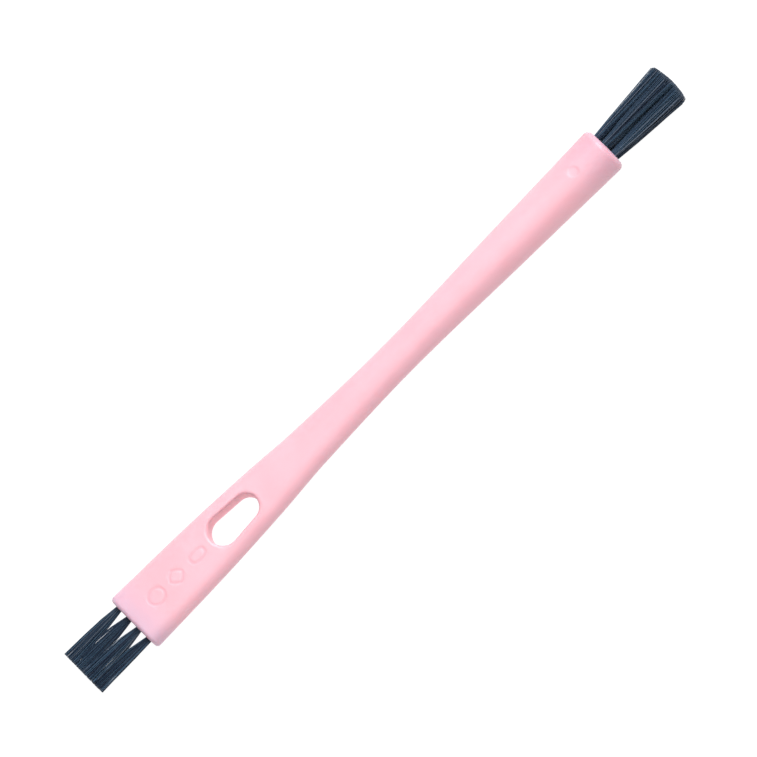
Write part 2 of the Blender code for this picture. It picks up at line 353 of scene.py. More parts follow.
def handle_plastic():
    material, tree, shader = new_material("satin_pink_plastic")
    place = add(tree, "ShaderNodeTexCoord").outputs["Object"]
    drift = add(tree, "ShaderNodeTexNoise", Vector=place, Scale=110.0, Detail=3.0, Roughness=0.55).outputs[0]
    grain = add(tree, "ShaderNodeTexNoise", Vector=place, Scale=7000.0, Detail=2.0, Roughness=0.6).outputs[0]
    waves = add(tree, "ShaderNodeTexNoise", Vector=place, Scale=420.0, Detail=1.0, Roughness=0.5).outputs[0]
    wear_and_shade = add(tree, "ShaderNodeAttribute", {"attribute_name": "wear_and_shade"}).outputs["Fac"]
    along = add(tree, "ShaderNodeSeparateXYZ", Vector=place).outputs["X"]
    rubbed = multiplied(tree, wear_and_shade, spread(tree, waves, 0.38, 0.62, 0.35, 1.0))

    colour = blend(tree, spread(tree, drift, 0.35, 0.65, 0.0, 1.0), PINK, DRIFTED_PINK)
    colour = blend(tree, spread(tree, grain, 0.3, 0.7, 0.0, 0.10), colour, GRAIN_PINK)
    colour = blend(tree, multiplied(tree, rubbed, 0.35), colour, RUBBED_PINK)
    # Painted shade: where the layer is below 0, in the recesses, the pink is mixed deeper.
    colour = blend(tree, spread(tree, wear_and_shade, 0.0, -1.0, 0.0, 0.45), colour, SHADED_RECESS_PINK)
    # Painted reflection of the dark bristles: lilac towards the flat end.
    flat_reflection_share = spread(tree, along, FLAT_END, FLAT_END + FLAT_REFLECTION_REACH, 0.95, 0.0)
    colour = blend(tree, flat_reflection_share, colour, FLAT_END_REFLECTION_PINK)
    # Painted shade: darker and more lilac towards the round end.
    round_shade_share = spread(tree, along, ROUND_END - ROUND_SHADE_REACH, ROUND_END, 0.0, 0.6)
    colour = blend(tree, round_shade_share, colour, ROUND_END_SHADE_PINK)
    # Painted reflection of the dark bristles on the round end's rim.
    rim_reflection_share = spread(tree, along, ROUND_END - ROUND_RIM_REFLECTION_REACH, ROUND_END, 0.0, 0.75)
    colour = blend(tree, rim_reflection_share, colour, ROUND_RIM_REFLECTION_PINK)
    tree.links.new(colour, shader.inputs["Base Color"])

    satin = spread(tree, drift, 0.3, 0.7, 0.38, 0.46)
    rough = add(tree, "ShaderNodeMath", {"operation": "MULTIPLY_ADD"}, i0=rubbed, i1=-0.1, i2=satin)
    tree.links.new(rough.outputs[0], shader.inputs["Roughness"])

    bump = add(tree, "ShaderNodeBump", Strength=0.25, Distance=0.02 * MM, Height=grain)
    bump = add(tree, "ShaderNodeBump", Strength=0.2, Distance=0.12 * MM, Height=waves, Normal=bump.outputs[0])
    tree.links.new(bump.outputs[0], shader.inputs["Normal"])
    shader.inputs["IOR"].default_value = 1.49
    shader.inputs["Specular IOR Level"].default_value = 0.75
    shader.inputs["Subsurface Weight"].default_value = 0.25
    shader.inputs["Subsurface Radius"].default_value = (1.0, 0.45, 0.4)
    shader.inputs["Subsurface Scale"].default_value = 0.9 * MM
    return material


pink = handle_plastic()
print(pink.name, "has", len(pink.node_tree.nodes), "nodes")

# %% [markdown]
# ## The surface as a formula
# Everything that is cut into the handle has to start on its surface. `height` gives that surface at any
# point, so a new vertex can be laid exactly on it, raised above it or sunk below it. A Shrinkwrap modifier
# would pull vertices onto a mesh in the same way, but only onto the flat faces of its rings. A `side` of 1
# is the upper face of the handle and -1 is the lower one.

# %% Height of the surface
def height(distance, y):
    """How far the handle's surface is above its axis, at this distance along it and this y."""
    half_width, half_thickness, flat = section(distance)
    beyond = max(abs(y) - flat, 0.0) / (half_width - flat)
    return half_thickness * math.sqrt(max(1 - beyond * beyond, 0.0))


def on_surface(x, y, side, raised=0.0):
    """The point of the handle's surface over (x, y), or one raised above it or sunk below it."""
    return Vector((x, y, AXIS + side * (height(x - FLAT_END, y) + raised)))


print("paddle's upper face", round(height(PADDLE_LENGTH / 2, 0.0) / MM, 2), "mm above the axis")

# %% [markdown]
# ## Windows in the handle
# The slot, the dimple and the three small marks are all made alike. Some faces of the tube are taken out,
# and the edge of that window is extruded inwards, row by row, until it lies on the feature's own outline. A
# Boolean would be quicker, but it leaves long thin faces, and they would show as scars on a satin surface.

# %% Helpers for windows
def open_window(shape, rings, start, end, reach, side):
    """Takes out the faces between two distances, this many to each side of the middle.

    It gives the window's edge, from the middle of its +X side round.
    """
    distances = [distance for distance, _ in stations]
    first = max(i for i, distance in enumerate(distances) if distance <= start)
    last = min(i for i, distance in enumerate(distances) if distance >= end)
    middle = 0 if side > 0 else AROUND // 2
    inside = set()
    for ring in rings[first : last + 1]:
        inside.update(ring[(middle + j) % AROUND] for j in range(-reach, reach + 1))
    walk = [(last, j) for j in range(reach)]
    walk += [(i, reach) for i in range(last, first, -1)]
    walk += [(first, j) for j in range(reach, -reach, -1)]
    walk += [(i, -reach) for i in range(first, last)]
    walk += [(last, j) for j in range(-reach, 0)]
    edge = [rings[i][(middle + j) % AROUND] for i, j in walk]
    faces = [face for face in shape.faces if all(vert in inside for vert in face.verts)]
    bmesh.ops.delete(shape, geom=faces, context="FACES")
    return edge


def shares_of(points):
    """How far round a closed line each of its points is, from 0 to 1."""
    gaps = [math.dist(a, b) for a, b in zip(points, points[1:] + points[:1])]
    run = np.cumsum([0.0] + gaps)
    return run[:-1] / run[-1]


def spaced(outline, shares, side):
    """Points of a closed outline at these shares of its length. On the lower side it turns the other way."""
    line = np.array(outline + outline[:1])
    run = np.concatenate(([0.0], np.cumsum(np.hypot(*np.diff(line, axis=0).T))))
    run /= run[-1]
    return [(np.interp(s, run, line[:, 0]), side * np.interp(s, run, line[:, 1])) for s in shares]


def reach_outline(shape, edge, outline, side, rows):
    """Grows a window's edge onto an outline. Gives the new ring and the shares its vertices lie at."""
    start = [(vert.co.x, vert.co.y) for vert in edge]
    shares = shares_of(start)
    goal = spaced(outline, shares, side)
    ring = edge
    for row in range(1, rows + 1):
        part = row / rows
        between = [(a[0] + (b[0] - a[0]) * part, a[1] + (b[1] - a[1]) * part) for a, b in zip(start, goal)]
        ring = grow(shape, ring, [on_surface(x, y, side) for x, y in between])
    return ring, shares


# %% [markdown]
# ## The hang slot
# The slot lets the brush hang from a hook. It is a long hole with round ends, a little wider towards the
# flat end, and its lip is softly rounded on both faces. It could be one tunnel bridged between two windows,
# but both windows are grown down a quarter-round lip to the middle of the paddle instead. There the two
# halves meet, as they do in the real mould, and they are merged when the whole handle is done.

# %% Slot
SLOT_START = 22.5 * MM
SLOT_LENGTH = 12.1 * MM
SLOT_WIDE = 6.3 * MM
SLOT_NARROW = 5.4 * MM
LIP_RADIUS = 0.65 * MM
LIP_STEPS = 6
LIP_WEAR = 0.4
# How deep the painted shade on the slot's walls is, as a value below 0 in the layer.
WALL_SHADE = -0.6
SLOT_MARGINS = (0.3 * MM, 0.7 * MM)
SLOT_REACH = 13
SLOT_ROWS = 4
OUTLINE_STEPS = 48


def slot_outline(offset):
    """A tapered long hole, this much bigger all round. It starts at its +X end and turns towards +Y."""
    wide, narrow = SLOT_WIDE / 2, SLOT_NARROW / 2
    wide_x = FLAT_END + SLOT_START + wide
    narrow_x = FLAT_END + SLOT_START + SLOT_LENGTH - narrow
    tangent = math.acos((wide - narrow) / (narrow_x - wide_x))
    outline = []
    for centre, radius, start, end in (
        (narrow_x, narrow, 0.0, tangent),
        (wide_x, wide, tangent, 2 * math.pi - tangent),
        (narrow_x, narrow, -tangent, -tangent / OUTLINE_STEPS),
    ):
        for step in range(OUTLINE_STEPS + 1):
            turn = start + (end - start) * step / OUTLINE_STEPS
            outline.append((centre + (radius + offset) * math.cos(turn), (radius + offset) * math.sin(turn)))
    return outline


def cut_slot_half(shape, rings, side):
    """Cuts the slot into one face of the paddle, down to the handle's axis."""
    start = SLOT_START - LIP_RADIUS - SLOT_MARGINS[0]
    end = SLOT_START + SLOT_LENGTH + LIP_RADIUS + SLOT_MARGINS[1]
    edge = open_window(shape, rings, start, end, SLOT_REACH, side)
    ring, shares = reach_outline(shape, edge, slot_outline(LIP_RADIUS), side, SLOT_ROWS)
    for step in range(1, LIP_STEPS + 1):
        turn = math.pi / 2 * step / LIP_STEPS
        outline = spaced(slot_outline(LIP_RADIUS * (1 - math.sin(turn))), shares, side)
        drop = LIP_RADIUS * (1 - math.cos(turn))
        points = [on_surface(x, y, side, -drop) for x, y in outline]
        ring = grow(shape, ring, points, wear_and_shade=LIP_WEAR * math.sin(2 * turn))
    # The slot's walls carry a value below 0 in the layer: painted shade, a deeper pink.
    for part in (0.5, 1.0):
        points = [Vector((v.co.x, v.co.y, v.co.z + (AXIS - v.co.z) * part)) for v in ring]
        ring = grow(shape, ring, points, wear_and_shade=WALL_SHADE)


print("slot outline with its lip:", len(slot_outline(LIP_RADIUS)), "points")

# %% [markdown]
# ## The dimple and the marks
# Near the round end the barrel has a shallow round dimple, soft at its edge. On the paddle three small
# pressed marks stand in a row: a ring, a lozenge and a long ring, each a shallow groove that runs round its
# outline. They are plain shapes, no deeper than a sheet of paper. Their soft shading shows, and their
# grooves and the dimple's slope are also mixed a deeper pink as painted shade. A bump in the material could
# fake them, but a real groove holds up from every side. One superellipse serves for all of them: an
# exponent of 2 is an ellipse, less gives a lozenge.

# %% Dimple
DIMPLE_AT = LENGTH - 8.2 * MM
DIMPLE_MARGIN = 1.8 * MM
DIMPLE_REACH = 5
DIMPLE_ROWS = 2
# How deep the painted shade on the dimple's slope is, as a value below 0 in the layer.
DIMPLE_SHADE = -0.55

# The dimple's section: each step is a radius and a depth, both in mm. Outside the floor's radius it slopes.
DIMPLE_PROFILE = (
    (1.38, 0.0),
    (1.26, 0.01),
    (1.14, 0.03),
    (1.0, 0.055),
    (0.86, 0.075),
    (0.66, 0.085),
    (0.30, 0.085),
)
DIMPLE_FLOOR = 0.8


def oval_outline(centre_x, half_x, half_y, power):
    """A superellipse that starts at its +X end and turns towards +Y."""
    outline = []
    for step in range(4 * OUTLINE_STEPS):
        turn = math.pi / 2 * step / OUTLINE_STEPS
        across, up = math.cos(turn), math.sin(turn)
        x = math.copysign(abs(across) ** (2 / power), across)
        y = math.copysign(abs(up) ** (2 / power), up)
        outline.append((centre_x + half_x * x, half_y * y))
    return outline


def sink_dimple(shape, rings):
    """Sinks the dimple into the top of the barrel."""
    centre_x = FLAT_END + DIMPLE_AT
    edge = open_window(shape, rings, DIMPLE_AT - DIMPLE_MARGIN, DIMPLE_AT + DIMPLE_MARGIN, DIMPLE_REACH, 1)
    radius = DIMPLE_PROFILE[0][0] * MM
    ring, shares = reach_outline(shape, edge, oval_outline(centre_x, radius, radius, 2), 1, DIMPLE_ROWS)
    for radius, depth in DIMPLE_PROFILE[1:]:
        outline = spaced(oval_outline(centre_x, radius * MM, radius * MM, 2), shares, 1)
        points = [on_surface(x, y, 1, -depth * MM) for x, y in outline]
        # The dimple's slope, outside its floor, carries a value below 0 in the layer: painted shade, a deeper
        # pink.
        ring = grow(shape, ring, points, wear_and_shade=DIMPLE_SHADE if radius > DIMPLE_FLOOR else 0.0)
    close_on_middle(shape, ring)


print(f"dimple {max(depth for _, depth in DIMPLE_PROFILE)} mm deep, {DIMPLE_AT / MM:.1f} mm along")

# %% [markdown]
# The marks use the same helpers. A profile gives the groove's section as offsets from the mark's outline,
# and the plain middle inside the groove is closed with two more rings and a vertex.

# %% Pressed marks
MARK_DEPTH = 0.035
MARK_MARGIN = 0.25
MARK_REACH = 7
MARK_ROWS = 2
MARK_MIDDLE = (0.6, 0.25)

# The groove's section: each step is an offset in mm from the outline and a share of the depth.
MARK_PROFILE = (
    (0.08, 0.0),
    (0.0, 0.45),
    (-0.10, 1.0),
    (-0.31, 1.1),
    (-0.52, 1.0),
    (-0.62, 0.45),
    (-0.70, 0.0),
)

# Each mark: its middle's distance from the flat end, half length and half width in mm, and its exponent.
MARKS = (
    (7.1, 2.15, 1.95, 2.0),
    (12.6, 1.95, 1.75, 1.35),
    (18.5, 2.1, 1.35, 2.6),
)


def press_mark(shape, rings, at, half_x, half_y, power):
    """Presses one mark into the upper face of the paddle."""
    centre_x = FLAT_END + at * MM
    start, end = (at - half_x - MARK_MARGIN) * MM, (at + half_x + MARK_MARGIN) * MM
    edge = open_window(shape, rings, start, end, MARK_REACH, 1)

    def outline(offset):
        return oval_outline(centre_x, (half_x + offset) * MM, (half_y + offset) * MM, power)

    ring, shares = reach_outline(shape, edge, outline(MARK_PROFILE[0][0]), 1, MARK_ROWS)
    for offset, part in MARK_PROFILE[1:]:
        depth = part * MARK_DEPTH * MM
        points = [on_surface(x, y, 1, -depth) for x, y in spaced(outline(offset), shares, 1)]
        # The groove carries a value below 0 in the layer: painted shade, deeper where the groove is deeper.
        ring = grow(shape, ring, points, wear_and_shade=-part)
    inner = [(v.co.x, v.co.y) for v in ring]
    for part in MARK_MIDDLE:
        points = [on_surface(centre_x + (x - centre_x) * part, y * part, 1) for x, y in inner]
        ring = grow(shape, ring, points)
    close_on_middle(shape, ring)


print(len(MARKS), "marks,", MARK_DEPTH, "mm deep")

# %% [markdown]
# ## The end faces and their holes
# Every tuft sits in its own blind hole in an end face. The anchors' boxes say where the holes are. A circle
# is drawn for each hole, `triangle_fill` fills the face between the outline and the circles, and each
# circle is then grown over a narrow land, round a soft mouth and down the bore to its floor. Boolean drills
# would do the same, but they would leave the mouths sharp.

# %% End faces and holes
HOLE_RADIUS = 0.75 * MM
HOLE_DEPTH = 5.0 * MM
HOLE_SIDES = 24
MOUTH_RADIUS = 0.12 * MM
MOUTH_STEPS = 3
MOUTH_WEAR = 0.3
LAND = 0.08 * MM

# The bore's last two circles, as shares of its radius and of its depth.
BORE_ENDS = ((1.0, 0.97), (0.85, 1.0))


def centre_of(node):
    """The middle of a CAD node's box."""
    low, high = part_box(node)
    return (low + high) / 2


def anchors_of(end):
    """The names of the anchors in the flat or the round end."""
    return sorted(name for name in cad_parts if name.startswith(end + "_anchor"))


def face_circle(end, centre, radius, depth):
    """A circle of points round a hole, this deep under the end's flat or gently crowned face."""
    face_x, inwards, crown = (FLAT_END, 1, 0.0) if end == "flat" else (ROUND_END, -1, CROWN)
    points = []
    for step in range(HOLE_SIDES):
        turn = 2 * math.pi * step / HOLE_SIDES
        y, z = centre.y + radius * math.cos(turn), centre.z + radius * math.sin(turn)
        fall = crown * (math.hypot(y, z - AXIS) / BARREL_RADIUS) ** 2
        points.append(Vector((face_x + inwards * (fall + depth), y, z)))
    return points


def drill(shape, ring, end, centre):
    """Grows a circle on the end face into a bore with a rounded mouth and a closed floor."""
    for step in range(MOUTH_STEPS + 1):
        turn = math.pi / 2 * step / MOUTH_STEPS
        radius = HOLE_RADIUS + MOUTH_RADIUS * (1 - math.sin(turn))
        depth = MOUTH_RADIUS * (1 - math.cos(turn))
        ring = grow(shape, ring, face_circle(end, centre, radius, depth), wear_and_shade=MOUTH_WEAR)
    for wide, deep in BORE_ENDS:
        ring = grow(shape, ring, face_circle(end, centre, HOLE_RADIUS * wide, HOLE_DEPTH * deep))
    close_on_middle(shape, ring)


def close_end(shape, ring, end):
    """Fills an end face round its holes, then drills them."""
    circles = []
    for node in anchors_of(end):
        centre = centre_of(node)
        verts = bmesh.ops.create_circle(shape, segments=HOLE_SIDES, radius=HOLE_RADIUS)["verts"]
        for vert, point in zip(verts, face_circle(end, centre, HOLE_RADIUS + MOUTH_RADIUS + LAND, 0.0)):
            vert.co = point
        circles.append((verts, centre))
    edges = edges_of(ring) + [edge for verts, _ in circles for edge in edges_of(verts)]
    bmesh.ops.triangle_fill(shape, use_beauty=True, edges=edges)
    for verts, centre in circles:
        drill(shape, verts, end, centre)


print("holes:", len(anchors_of("flat")), "in the flat end and", len(anchors_of("round")), "in the round end")

# %% [markdown]
# ## The whole handle
# Now the helpers come together. The tube is grown ring by ring from the flat end, the slot is cut from both
# faces, and the marks, the dimple and the ends follow. The two halves of the slot are merged at the end,
# and a count of faulty edges and a positive volume show that the skin is closed and faces outwards.

# %% Build the handle
RIM_WEAR = 0.4
WORN_FROM = 0.5 * MM
MERGE_GAP = 0.0005 * MM


def make_handle(material):
    """The handle's whole skin, which stands for the CAD node."""
    shape = bmesh.new()
    shape.verts.layers.float.new("wear_and_shade")
    first = bmesh.ops.create_circle(shape, segments=AROUND, radius=1.0)["verts"]
    for vert, point in zip(first, ring_points(*stations[0])):
        vert.co = point
    rings = [first]
    for distance, inset in stations[1:]:
        wear_and_shade = RIM_WEAR * min(inset / WORN_FROM, 1.0)
        rings.append(grow(shape, rings[-1], ring_points(distance, inset), wear_and_shade))
    for side in (1, -1):
        cut_slot_half(shape, rings, side)
    for mark in MARKS:
        press_mark(shape, rings, *mark)
    sink_dimple(shape, rings)
    close_end(shape, rings[0], "flat")
    close_end(shape, rings[-1], "round")
    bmesh.ops.remove_doubles(shape, verts=shape.verts, dist=MERGE_GAP)
    bmesh.ops.recalc_face_normals(shape, faces=shape.faces)
    faults = sum(not edge.is_contiguous for edge in shape.edges)
    volume = shape.calc_volume(signed=True) / MM**3
    print(f"handle: {len(shape.faces)} faces, {faults} edges at fault, {volume:.0f} cubic mm")
    finished("handle_body", shape, material, "handle_plastic", "handle")


make_handle(pink)

# %% [markdown]
# ## Dark nylon
# The bristles are a dark blue-grey nylon filament, extruded with a slight sheen. Each strand took up the
# dye a little differently, and a noise texture could not tell one strand from its neighbour. So each strand
# carries a number of its own in a layer called `strand`. The few highest numbers get a pale grey instead,
# a painted highlight on strands that catch the light. A second layer, `along`, runs from 0 in the hole to 1
# at the cut tip, where the ends are rubbed paler.

# %% Bristle nylon
DARK_DYE = (0.007, 0.020, 0.051, 1)
FULL_DYE = (0.038, 0.088, 0.150, 1)
# A pale grey, painted as a highlight on a few loose strands.
STRAND_HIGHLIGHT = (0.125, 0.145, 0.185, 1)
CLOUDED = (0.044, 0.075, 0.118, 1)
CUT_TIP = (0.11, 0.12, 0.14, 1)


def bristle_nylon():
    material, tree, shader = new_material("slate_nylon")
    strand = add(tree, "ShaderNodeAttribute", {"attribute_name": "strand"}).outputs["Fac"]
    along = add(tree, "ShaderNodeAttribute", {"attribute_name": "along"}).outputs["Fac"]
    place = add(tree, "ShaderNodeTexCoord").outputs["Object"]
    stretched = add(tree, "ShaderNodeMapping", Vector=place, Scale=(0.12, 1.0, 1.0)).outputs[0]
    streak = add(tree, "ShaderNodeTexNoise", Vector=stretched, Scale=5000.0, Detail=2.0, Roughness=0.6)
    streak = streak.outputs[0]
    cloud = add(tree, "ShaderNodeTexNoise", Vector=place, Scale=500.0, Detail=2.0).outputs[0]

    colour = blend(tree, spread(tree, strand, 0.1, 0.9, 0.0, 1.0), DARK_DYE, FULL_DYE)
    # Painted highlight: the strands with the highest numbers turn pale grey.
    colour = blend(tree, spread(tree, strand, 0.90, 0.97, 0.0, 0.8), colour, STRAND_HIGHLIGHT)
    colour = blend(tree, spread(tree, cloud, 0.4, 0.7, 0.0, 0.35), colour, CLOUDED)
    colour = blend(tree, spread(tree, along, 0.96, 1.0, 0.0, 0.35), colour, CUT_TIP)
    tree.links.new(colour, shader.inputs["Base Color"])
    tree.links.new(spread(tree, streak, 0.3, 0.7, 0.30, 0.48), shader.inputs["Roughness"])
    bump = add(tree, "ShaderNodeBump", Strength=0.3, Distance=0.01 * MM, Height=streak)
    tree.links.new(bump.outputs[0], shader.inputs["Normal"])
    shader.inputs["IOR"].default_value = 1.53
    shader.inputs["Specular IOR Level"].default_value = 0.38
    return material


nylon = bristle_nylon()
print(nylon.name, "has", len(nylon.node_tree.nodes), "nodes")

# %% [markdown]
# ## A tuft of folded filaments
# A tuft is a bundle of filaments folded in half over a flat wire anchor, which is then driven into the
# hole. So every filament is one long U: from one cut tip down into the hole, round under the anchor and
# back out to a second tip. Hair curves would be lighter, but they are no mesh and could not be exported as
# one. The roots are spread by the golden angle, as seeds are in a sunflower, which fills a round bundle
# evenly.

# %% Where the filaments sit
FILAMENT_RADIUS = 0.067 * MM
FILAMENTS = 46
BUNDLE_RADIUS = 0.665 * MM
GOLDEN_TURN = math.pi * (3 - math.sqrt(5))


def root_spots():
    """Spots (across, along) on one side of the anchor, spread evenly over half of the bundle."""
    spots = []
    number = 0
    while len(spots) < FILAMENTS:
        radius = math.sqrt((number + 0.5) / (2 * FILAMENTS)) * BUNDLE_RADIUS
        across, along = radius * math.cos(number * GOLDEN_TURN), radius * math.sin(number * GOLDEN_TURN)
        number += 1
        if across > 0:
            spots.append((across, along))
    return spots


class Tuft:
    """Where one tuft sits: its face, its way out, its free length, and how it leans and spreads."""

    def __init__(self, anchor, way, lean, spread_y, spread_z, opening):
        """The way is 1 towards +X and -1 towards -X. A lower opening spreads the strands sooner."""
        self.node = anchor.replace("anchor", "tuft")
        low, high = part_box(self.node)
        self.way = way
        self.face_x = ROUND_END if way > 0 else FLAT_END
        self.tip_x = high.x if way > 0 else low.x
        self.floor_x = low.x if way > 0 else high.x
        self.root = centre_of(anchor)
        anchor_low, anchor_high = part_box(anchor)
        self.under_anchor = anchor_low.x if way > 0 else anchor_high.x
        self.over_anchor = anchor_high.x if way > 0 else anchor_low.x
        self.across_y = (anchor_high - anchor_low).y < (anchor_high - anchor_low).z
        self.lean, self.spread_y, self.spread_z, self.opening = lean, spread_y, spread_z, opening

    def offset(self, across, along):
        """(y, z) of a spot given across and along the anchor."""
        return (across, along) if self.across_y else (along, across)


print("spots in half a bundle:", len(root_spots()))

# %% [markdown]
# ## Cut tips
# A filled brush is trimmed by a spinning blade: straight across the flat row, and to a shallow dome with a
# worn shoulder on the round brush. Tips cut to one exact surface would look like a solid block, so each one
# is scattered a little and trimmed a little short, and every fourth or so a little more. The random numbers
# come from one seeded generator, so the same brush grows each time.

# %% Tips of the strands
SQUARENESS = 0.35
SCATTER = 0.12
FINE_TRIM = 0.05
COARSE_TRIM = (0.05, 0.30)
COARSE_TRIM_SHARE = 0.25
DOME_RADIUS = 18.5 * MM
DOME_SHOULDER = 4.3 * MM
SHOULDER_SLOPE = 0.9
TINY = 1e-9
draw = random.Random(11)


def tip_spot(tuft, y, z):
    """Where a strand ends that leaves its hole at (y, z) from the middle. The flat row ends square."""
    if tuft.way < 0:
        size = max(abs(y), abs(z), TINY)
        square = 1 + SQUARENESS * (math.hypot(y, z) / size - 1)
        y, z = y * square, z * square
    y, z = y / BUNDLE_RADIUS * tuft.spread_y, z / BUNDLE_RADIUS * tuft.spread_z
    y += draw.uniform(-SCATTER, SCATTER) * MM
    z += draw.uniform(-SCATTER, SCATTER) * MM
    return tuft.root.y + tuft.lean[0] + y, tuft.root.z + tuft.lean[1] + z


def tip_end(tuft, y, z):
    """The x of a cut tip: straight across the flat row, a shallow dome on the round brush."""
    trim = draw.uniform(0.0, FINE_TRIM) * MM
    if draw.random() < COARSE_TRIM_SHARE:
        trim += draw.uniform(*COARSE_TRIM) * MM
    if tuft.way > 0:
        radius = math.hypot(y, z - AXIS)
        trim += radius * radius / (2 * DOME_RADIUS)
        trim += max(radius - DOME_SHOULDER, 0.0) * SHOULDER_SLOPE
    return tuft.tip_x - tuft.way * trim


# %% [markdown]
# ## The path of a filament
# The free part of each filament runs from its spot in the hole to its spot at the tip, with a small bow of
# its own. In the hole the bundle splits in two round the anchor. The fold is deepest for the outermost
# filaments, so the strands nest inside one another. A few loose strands bow more, and at the edge of the
# round brush they splay out and end short.

# %% Path of one filament
FREE_SHARES = (1.0, 0.6, 0.28, 0.0)
ANCHOR_GAP = 0.23 * MM
ABOVE_ANCHOR = 0.1 * MM
BOW = 0.05 * MM
LOOSE_BOW = 0.12 * MM
SPLAYED_BEYOND = 3.6 * MM
SPLAY = (1.02, 1.08)
SPLAYED_SHORTER = (0.1, 0.8)


def arm(tuft, across, along, loose):
    """Points from a cut tip down to the anchor, for one half of a filament."""
    y, z = tuft.offset(across, along)
    tip_y, tip_z = tip_spot(tuft, y, z)
    tip_x = tip_end(tuft, tip_y, tip_z)
    bow = LOOSE_BOW if loose else BOW
    bow_y, bow_z = draw.gauss(0, bow), draw.gauss(0, bow)
    if loose and tuft.way > 0 and math.hypot(tip_y, tip_z - AXIS) > SPLAYED_BEYOND:
        splay = draw.uniform(*SPLAY)
        tip_y, tip_z = tip_y * splay, AXIS + (tip_z - AXIS) * splay
        tip_x -= draw.uniform(*SPLAYED_SHORTER) * MM
    points = []
    for share in FREE_SHARES:
        opened = share**tuft.opening
        swing = 4 * share * (1 - share)
        at_x = tuft.face_x + (tip_x - tuft.face_x) * share
        at_y = tuft.root.y + y + (tip_y - tuft.root.y - y) * opened + bow_y * swing
        at_z = tuft.root.z + z + (tip_z - tuft.root.z - z) * opened + bow_z * swing
        points.append(Vector((at_x, at_y, at_z)))
    beside = math.copysign(ANCHOR_GAP + abs(across) * (1 - ANCHOR_GAP / BUNDLE_RADIUS), across)
    y, z = tuft.offset(beside, along)
    for x in (tuft.over_anchor + tuft.way * ABOVE_ANCHOR, tuft.under_anchor):
        points.append(Vector((x, tuft.root.y + y, tuft.root.z + z)))
    return points


def filament_path(tuft, across, along, loose):
    """The whole filament: down one arm, round under the anchor and up the other."""
    down, up = arm(tuft, across, along, loose), arm(tuft, -across, along, loose)
    room = abs(tuft.floor_x - tuft.under_anchor) - 2 * FILAMENT_RADIUS
    depth = FILAMENT_RADIUS + room * across / BUNDLE_RADIUS
    y, z = tuft.offset(0.0, along)
    bottom = Vector((tuft.under_anchor - tuft.way * depth, tuft.root.y + y, tuft.root.z + z))
    return down + [bottom] + up[::-1]


print("rows of vertices along a filament:", 2 * (len(FREE_SHARES) + 2) + 1)

# %% [markdown]
# ## Extruding a whole tuft
# All the filaments of a tuft start as small circles at their cut tips, and one extrusion at a time carries
# every circle a step further along its own path, so a tuft needs only a dozen extrusions in all. Five sides
# are enough for a strand 0.13 mm thick. Each circle is turned square to its path, or the strands would go
# flat in the fold. Some of the loose strands get a pale grey as a painted highlight.

# %% Extrude a whole tuft
FILAMENT_SIDES = 5
LOOSE_SHARE = 0.15
HIGHLIGHT_SHARE = 0.6
HIGHLIGHT_TONE = 0.97
TOP_TONE = 0.9
SHARP_ANGLE = math.radians(80)


def circle_round(path, step, beside):
    """The ring of a strand at one step of its path, square to it."""
    before, after = path[max(step - 1, 0)], path[min(step + 1, len(path) - 1)]
    heading = (after - before).normalized()
    up = (beside - heading * beside.dot(heading)).normalized()
    out = heading.cross(up)
    turns = [2 * math.pi * side / FILAMENT_SIDES for side in range(FILAMENT_SIDES)]
    return [path[step] + FILAMENT_RADIUS * (math.cos(a) * out + math.sin(a) * up) for a in turns]


def make_tuft(tuft, name, material):
    """One tuft's filaments, which stand for its CAD node."""
    shape = bmesh.new()
    strand = shape.verts.layers.float.new("strand")
    along = shape.verts.layers.float.new("along")
    beside = Vector((0, 0, 1)) if tuft.across_y else Vector((0, 1, 0))
    loose = [draw.random() < LOOSE_SHARE for _ in range(FILAMENTS)]
    paths = [filament_path(tuft, *spot, free) for spot, free in zip(root_spots(), loose)]
    rings = []
    for path, free in zip(paths, loose):
        ring = bmesh.ops.create_circle(shape, segments=FILAMENT_SIDES, radius=FILAMENT_RADIUS)["verts"]
        # A share of the loose strands get the number of the painted highlight.
        tone = HIGHLIGHT_TONE if free and draw.random() < HIGHLIGHT_SHARE else draw.uniform(0.0, TOP_TONE)
        for vert, point in zip(ring, circle_round(path, 0, beside)):
            vert.co, vert[strand], vert[along] = point, tone, 1.0
        rings.append(ring)
    first_rings = rings
    last_step = len(paths[0]) - 1
    for step in range(1, last_step + 1):
        edges = [edge for ring in rings for edge in edges_of(ring)]
        made = bmesh.ops.extrude_edge_only(shape, edges=edges)["geom"]
        fresh = {item for item in made if isinstance(item, bmesh.types.BMVert)}
        reach = min(step, last_step - step)
        share = FREE_SHARES[reach] if reach < len(FREE_SHARES) else 0.0
        grown_rings = []
        for ring, path in zip(rings, paths):
            grown = [next(e.other_vert(v) for e in v.link_edges if e.other_vert(v) in fresh) for v in ring]
            for vert, point in zip(grown, circle_round(path, step, beside)):
                vert.co, vert[along] = point, share
            grown_rings.append(grown)
        rings = grown_rings
    ends = [edge for ring in first_rings + rings for edge in edges_of(ring)]
    bmesh.ops.edgeloop_fill(shape, edges=ends)
    faces = len(shape.faces)
    piece = finished(name, shape, material, "bristle_nylon", tuft.node)
    piece.data.set_sharp_from_angle(angle=SHARP_ANGLE)
    print(f"{name}: {len(paths)} filaments, {faces} faces")


# %% [markdown]
# ## The two brushes
# The flat row has been used: it leans a little towards +Y, and its outer tufts lean inwards, so the row
# ends as a block only a little wider than it is at its roots. Its tufts fan out early and mix from about a
# third of the way out, which leaves narrow gaps of daylight at the handle.

